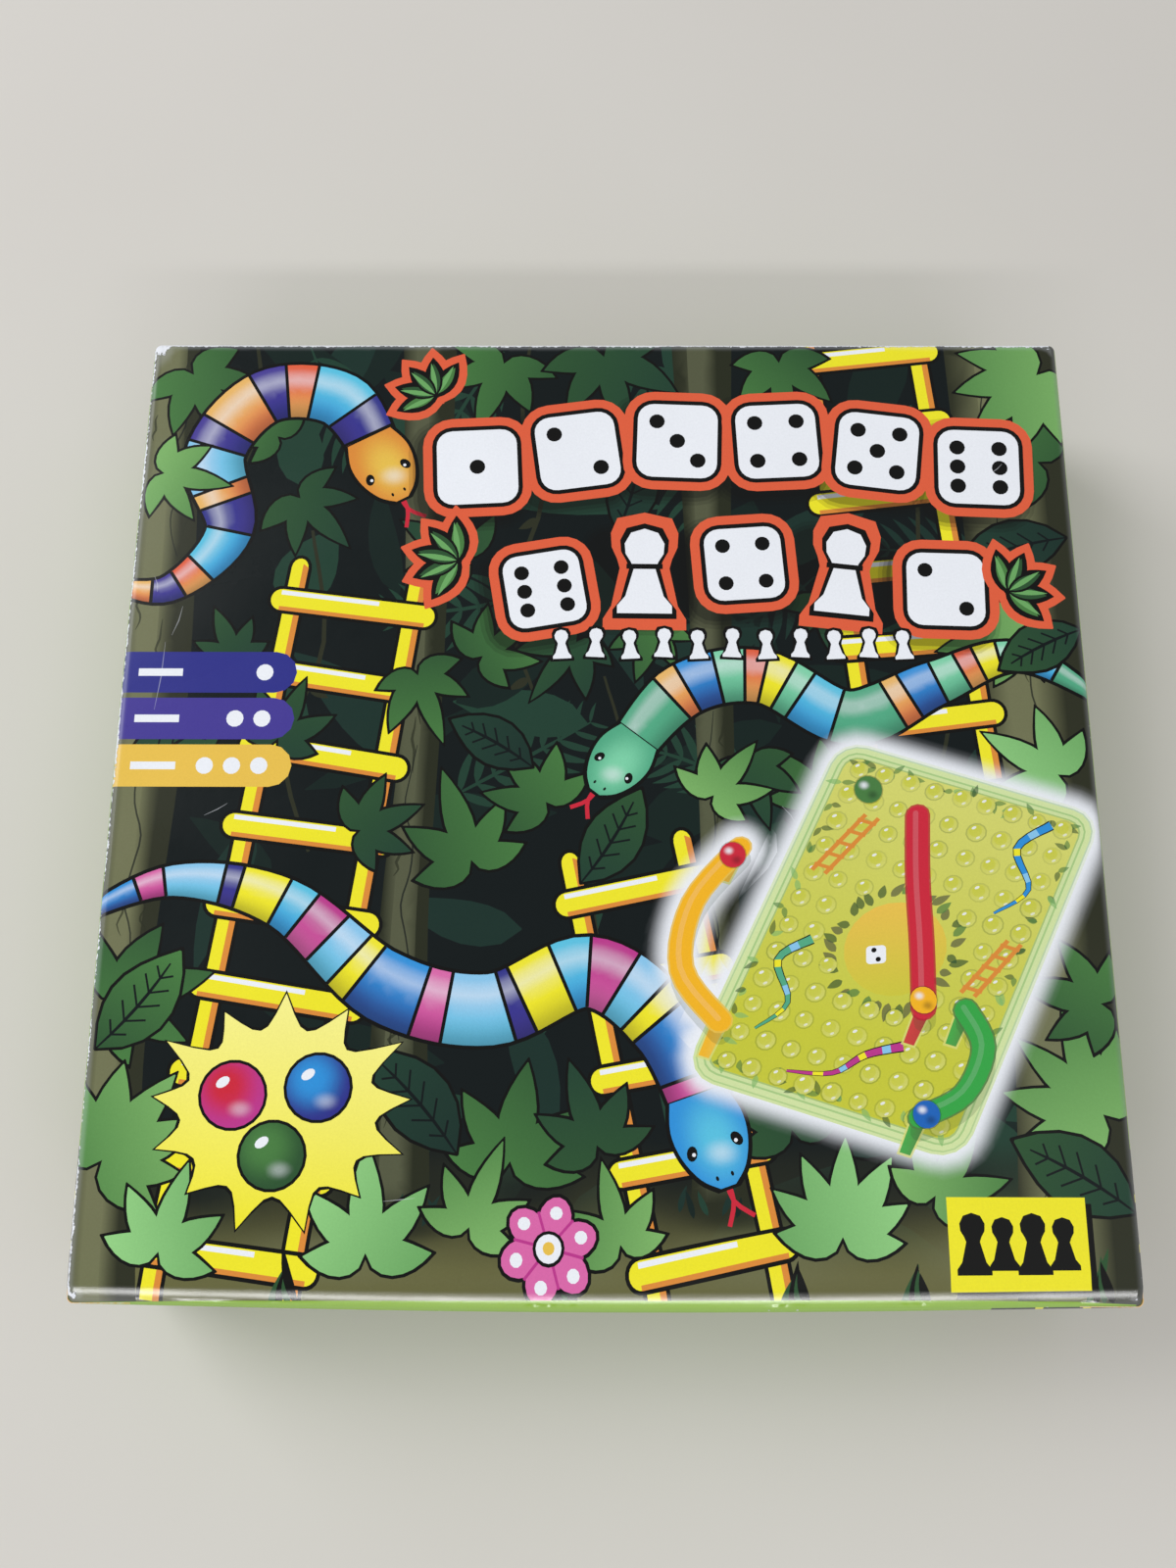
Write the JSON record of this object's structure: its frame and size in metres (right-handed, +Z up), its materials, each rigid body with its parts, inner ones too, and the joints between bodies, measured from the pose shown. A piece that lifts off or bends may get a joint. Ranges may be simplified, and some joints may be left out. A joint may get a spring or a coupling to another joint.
{
  "type": "boxed snakes and ladders game",
  "caption": "Snakes and ladders game in a square lift-off card box, with a dimpled playing board, chutes on posts, balls and a die packed inside.",
  "frame": {"origin": "centre of the closed box's underside, on the surface that it stands on", "axes": "+Z up through the lid, +X to the right and +Y away from whoever reads the lid"},
  "size_m": [0.27, 0.27, 0.052],
  "materials": {
    "greyboard": "matt grey board with a paper skin",
    "printed_wrap": "litho print under a gloss varnish, worn at the edges",
    "plain_wrap": "lime green paper, satin",
    "white_paper": "uncoated white paper",
    "stay_paper": "gummed paper tape",
    "white_card": "folded white card, satin face",
    "green_clear_plastic": "translucent pale green plastic",
    "clear_plastic": "clear moulded plastic",
    "playfield_print": "printed card, satin",
    "yellow_plastic": "gloss moulded plastic",
    "green_plastic": "gloss moulded plastic",
    "red_plastic": "gloss moulded plastic",
    "blue_plastic": "gloss moulded plastic",
    "white_plastic": "gloss white plastic with sunk black pips"
  },
  "bodies": {
    "base": {"base_board": "greyboard", "base_wrap": "plain_wrap", "base_bottom_sheet": "white_paper", "base_corner_stays": "stay_paper", "card_insert": "white_card"},
    "lid": {"lid_board": "greyboard", "lid_wrap": "printed_wrap", "lid_corner_stays": "stay_paper"},
    "board": {"board_frame": "green_clear_plastic", "dimple_sheet": "clear_plastic", "post_sockets": "clear_plastic", "playfield_card": "playfield_print"},
    "rules": {"rules_leaflet": "white_paper"},
    "yellow_curved_chute": {"yellow_curved_chute": "yellow_plastic"},
    "green_curved_chute": {"green_curved_chute": "green_plastic"},
    "red_straight_chute": {"red_straight_chute": "red_plastic"},
    "yellow_tall_post": {"yellow_tall_post": "yellow_plastic"},
    "green_tall_post": {"green_tall_post": "green_plastic"},
    "red_tall_post": {"red_tall_post": "red_plastic"},
    "yellow_short_post": {"yellow_short_post": "yellow_plastic"},
    "green_short_post": {"green_short_post": "green_plastic"},
    "red_short_post": {"red_short_post": "red_plastic"},
    "red_ball": {"red_ball": "red_plastic"},
    "yellow_ball": {"yellow_ball": "yellow_plastic"},
    "blue_ball": {"blue_ball": "blue_plastic"},
    "green_ball": {"green_ball": "green_plastic"},
    "die": {"die": "white_plastic"}
  },
  "joints": [
    {"name": "lid_lift", "type": "slide", "parent": "base", "child": "lid", "axis": [0, 0, 1], "range_m": [0, 0.18]},
    {"name": "board_lift", "type": "slide", "parent": "base", "child": "board", "axis": [0, 0, 1], "range_m": [0, 0.063]},
    {"name": "rules_lift", "type": "slide", "parent": "base", "child": "rules", "axis": [0, 0, 1], "range_m": [0, 0.027]},
    {"name": "yellow_curved_chute_lift", "type": "slide", "parent": "base", "child": "yellow_curved_chute", "axis": [0, 0, 1], "range_m": [0, 0.054]},
    {"name": "green_curved_chute_lift", "type": "slide", "parent": "base", "child": "green_curved_chute", "axis": [0, 0, 1], "range_m": [0, 0.054]},
    {"name": "red_straight_chute_lift", "type": "slide", "parent": "base", "child": "red_straight_chute", "axis": [0, 0, 1], "range_m": [0, 0.054]},
    {"name": "yellow_tall_post_lift", "type": "slide", "parent": "base", "child": "yellow_tall_post", "axis": [0, 0, 1], "range_m": [0, 0.054]},
    {"name": "green_tall_post_lift", "type": "slide", "parent": "base", "child": "green_tall_post", "axis": [0, 0, 1], "range_m": [0, 0.054]},
    {"name": "red_tall_post_lift", "type": "slide", "parent": "base", "child": "red_tall_post", "axis": [0, 0, 1], "range_m": [0, 0.054]},
    {"name": "yellow_short_post_lift", "type": "slide", "parent": "base", "child": "yellow_short_post", "axis": [0, 0, 1], "range_m": [0, 0.045]},
    {"name": "green_short_post_lift", "type": "slide", "parent": "base", "child": "green_short_post", "axis": [0, 0, 1], "range_m": [0, 0.045]},
    {"name": "red_short_post_lift", "type": "slide", "parent": "base", "child": "red_short_post", "axis": [0, 0, 1], "range_m": [0, 0.045]},
    {"name": "red_ball_lift", "type": "slide", "parent": "board", "child": "red_ball", "axis": [0, 0, 1], "range_m": [0, 0.027]},
    {"name": "yellow_ball_lift", "type": "slide", "parent": "board", "child": "yellow_ball", "axis": [0, 0, 1], "range_m": [0, 0.027]},
    {"name": "blue_ball_lift", "type": "slide", "parent": "board", "child": "blue_ball", "axis": [0, 0, 1], "range_m": [0, 0.027]},
    {"name": "green_ball_lift", "type": "slide", "parent": "board", "child": "green_ball", "axis": [0, 0, 1], "range_m": [0, 0.027]},
    {"name": "die_lift", "type": "slide", "parent": "board", "child": "die", "axis": [0, 0, 1], "range_m": [0, 0.0216]}
  ],
  "couplings": [
    {"joint": "board_lift", "follows": "lid_lift", "ratio": 0.35},
    {"joint": "rules_lift", "follows": "lid_lift", "ratio": 0.15},
    {"joint": "yellow_curved_chute_lift", "follows": "lid_lift", "ratio": 0.3},
    {"joint": "green_curved_chute_lift", "follows": "lid_lift", "ratio": 0.3},
    {"joint": "red_straight_chute_lift", "follows": "lid_lift", "ratio": 0.3},
    {"joint": "yellow_tall_post_lift", "follows": "lid_lift", "ratio": 0.3},
    {"joint": "green_tall_post_lift", "follows": "lid_lift", "ratio": 0.3},
    {"joint": "red_tall_post_lift", "follows": "lid_lift", "ratio": 0.3},
    {"joint": "yellow_short_post_lift", "follows": "lid_lift", "ratio": 0.25},
    {"joint": "green_short_post_lift", "follows": "lid_lift", "ratio": 0.25},
    {"joint": "red_short_post_lift", "follows": "lid_lift", "ratio": 0.25},
    {"joint": "red_ball_lift", "follows": "lid_lift", "ratio": 0.15},
    {"joint": "yellow_ball_lift", "follows": "lid_lift", "ratio": 0.15},
    {"joint": "blue_ball_lift", "follows": "lid_lift", "ratio": 0.15},
    {"joint": "green_ball_lift", "follows": "lid_lift", "ratio": 0.15},
    {"joint": "die_lift", "follows": "lid_lift", "ratio": 0.12}
  ]
}
